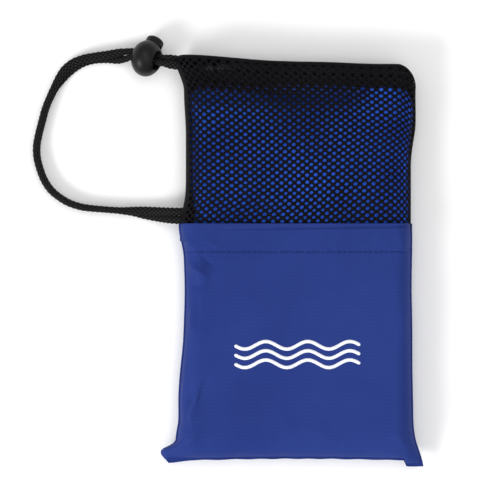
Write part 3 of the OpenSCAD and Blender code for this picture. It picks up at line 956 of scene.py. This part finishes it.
PITCH = 2.5           # mm from one stitch to the next
STITCH = 1.95         # length of a stitch
for side, label in ((1, "front"), (-1, "back")):
    parts = []
    for k, x in enumerate(np.arange(-52.5, 53.0, PITCH)):
        y = WAIST_Y + 0.16 * math.sin(2.4 * k) + 0.14 * math.sin(5.3 * k + 1.0)
        length = STITCH - 0.35 * abs(math.sin(1.7 * k))
        p = on_panel(x, y, 0.05, side)
        q = on_panel(x + length, y + 0.12 * math.sin(3.1 * k), 0.05, side)
        if p is not None and q is not None and np.linalg.norm(p - q) < 3.5:
            parts.append(stitch(p, q, (0, 0, side)))
    points, faces = joined(parts)
    piece = make("waist_stitches_" + label, points, faces, thread_blue)
    settle(piece, "pouch", "blue_thread", "waist_stitching_" + label)

    parts = []
    for s in np.arange(5.0, NET_W - 5.0, PITCH):
        share = np.array([s, s + STITCH]) / NET_W
        v = np.full(2, HEM_Y)
        p, q = net_point(share, v, side)
        up = normals_of(lambda s, w, side=side: net_base(s, w, side), share, v, side)[0]
        parts.append(stitch(p + up * 0.22, q + up * 0.22, up))
    points, faces = joined(parts)
    piece = make("casing_stitches_" + label, points, faces, thread_black)
    settle(piece, "pouch", "black_thread", "casing_stitching_" + label)


def band(name, line, across, thickness, material, slot, node):
    """A strip of bound seam along a line, a little uneven as sewn strips are."""
    rows = []
    count = 5
    for i, p in enumerate(line):
        sway = 0.25 * math.sin(i * 0.9) + 0.15 * math.sin(i * 2.3)
        for k in range(count):
            t = k / (count - 1)
            rows.append(p + np.array(across) * t + np.array((0, 0, sway * t)))
    points = np.array(rows)
    values = {"groove": 0.25 + 0.25 * np.sin(np.arange(len(points)) * 1.7)}
    piece = make(name, points, grid_faces(len(line), count), material, values=values)
    thicken(piece, thickness, 0.0)
    return settle(piece, "pouch", slot, node)


def side_line(sign):
    ys = np.arange(-90.0, 96.0, 2.0)
    xs = np.where(ys < 12, -panel_left(ys) if sign < 0 else panel_right(ys),
                  -net_left(ys) if sign < 0 else net_right(ys))
    shift = mouth_slope(xs) * smooth(38, 90, ys)
    return np.column_stack([xs - sign * 0.3, ys + shift, np.full(len(ys), MID)])


band("seam_left", side_line(-1), (5.6, 0, 0), 1.0, cloth_tape, "seam_binding", "left_seam")
band("seam_right", side_line(1), (-1.7, 0, -4.9), 0.8, cloth_tape, "seam_binding", "right_seam")
xs = np.arange(-50.0, 50.5, 2.0)
band("seam_bottom", np.column_stack([xs, np.full(len(xs), SEAM_Y + 0.4), np.full(len(xs), MID)]),
     (0, 4.6, 0), 0.9, cloth_blue, "coated_fabric", "bottom_seam")

# bar tack over both cord ends
low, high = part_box("cord_tack")
parts = []
for k, y in enumerate(np.linspace(low.y / MM + 0.4, high.y / MM - 0.4, 13)):
    x = (low.x + high.x) / 2 / MM
    z = high.z / MM
    parts.append(stitch(np.array((x - 0.9, y, z)), np.array((x + 0.9, y + 0.3, z)), (0, 0, 1)))
points, faces = joined(parts)
piece = make("bar_tack", points, faces, thread_black)
settle(piece, "pouch", "black_thread", "cord_tack")

# ---------------------------------------------------------------- printed mark
PRINT_Y, PRINT_W = -44.0, 60.0      # middle and width of the mark
WAVE, SWING = 20.0, 1.8             # length and half height of a wave
LINE_W, LINE_GAP = 1.6, 4.4
parts = []
for k in (-1, 0, 1):
    xs = np.linspace(-PRINT_W / 2, PRINT_W / 2, 161)
    ys = PRINT_Y + k * LINE_GAP + SWING * np.sin(2 * math.pi * xs / WAVE)
    slope = SWING * 2 * math.pi / WAVE * np.cos(2 * math.pi * xs / WAVE)
    nx, ny = -slope / np.hypot(1, slope), 1 / np.hypot(1, slope)
    past = ((np.abs(xs) - PRINT_W / 2 + LINE_W / 2) / (LINE_W / 2)).clip(0)
    ends = np.sqrt(np.clip(1 - past**2, 0.0, 1)) * LINE_W / 2      # rounded line ends
    rows = []
    for x, y, a, b, w in zip(xs, ys, nx, ny, ends):
        for t in (-1.0, 0.0, 1.0):
            rows.append(on_panel(x + a * t * w, y + b * t * w, 0.07))
    parts.append((np.array(rows), grid_faces(len(xs), 3, flip=True)))
points, faces = joined(parts)
piece = make("printed_waves", points, faces, ink_white)
thicken(piece, 0.06)
settle(piece, "pouch", "print_ink", "front_print")

# ---------------------------------------------------------------- cord lock
LOCK_CENTRE = (-0.0722, 0.0978, 0.0087)
LOCK_AXIS = (0.8997, -0.2243, 0.3746)
cad_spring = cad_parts["lock_spring"]
coil = cad_spring.copy()
coil.data, coil.name = cad_spring.data.copy(), "spring_coil"
coil.parent = None
coil.matrix_world = cad_spring.matrix_world
scene.collection.objects.link(coil)
coil.data.materials.clear()
coil.data.materials.append(steel())
coil.data.shade_smooth()
settle(coil, "cord_lock", "spring_steel", "lock_spring")
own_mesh(coil)

lock_look = {
    "lock_body": moulded("lock_shell", srgb(5, 5, 5), srgb(12, 12, 13), 0.40,
                         LOCK_CENTRE, LOCK_AXIS, -3.7),
    "lock_plunger": moulded("lock_button", srgb(5, 5, 5), srgb(12, 12, 12), 0.44),
}
for node, look in lock_look.items():
    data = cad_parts[node].data
    data.materials.clear()
    data.materials.append(look)
    data.shade_smooth()
    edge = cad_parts[node].modifiers.new("edges", "EDGE_SPLIT")
    edge.split_angle = math.radians(32)

# ---------------------------------------------------------------- floor and light
floor_look = Finish("floor", Roughness=0.9)
soft = floor_look.noise(3, 2)
floor_look.wire(Base_Color=floor_look.colour(soft, (0.95, 0.95, 0.95, 1), (0.97, 0.97, 0.97, 1)))
FLOOR_HALF, FLOOR_Z = 3000.0, -0.1
floor = make("floor", [(x * FLOOR_HALF, y * FLOOR_HALF, FLOOR_Z)
                       for x, y in ((-1, -1), (1, -1), (1, 1), (-1, 1))],
             [(0, 1, 2, 3)], floor_look.material, flat=True)

world = bpy.data.worlds.new("studio")
scene.world = world
world.use_nodes = True
world.node_tree.nodes["Background"].inputs[0].default_value = (1.0, 1.0, 1.0, 1.0)
world.node_tree.nodes["Background"].inputs[1].default_value = 0.66


def softbox(name, where, aim, size, power):
    data = bpy.data.lights.new(name, "AREA")
    data.shape, data.size, data.size_y, data.energy = "RECTANGLE", size[0], size[1], power
    lamp = bpy.data.objects.new(name, data)
    lamp.location = where
    lamp.rotation_mode = "QUATERNION"
    lamp.rotation_quaternion = (Vector(aim) - Vector(where)).to_track_quat("-Z", "Y")
    scene.collection.objects.link(lamp)


LIT = (-0.02, 0.0, 0.0)      # what the lamps point at
softbox("key", (-1.1, -0.8, 0.9), LIT, (0.7, 0.45), 16.0)
softbox("fill", (0.5, -0.3, 1.5), LIT, (0.9, 0.9), 4.0)
softbox("top", (0.1, 0.6, 1.5), LIT, (1.0, 0.8), 4.0)
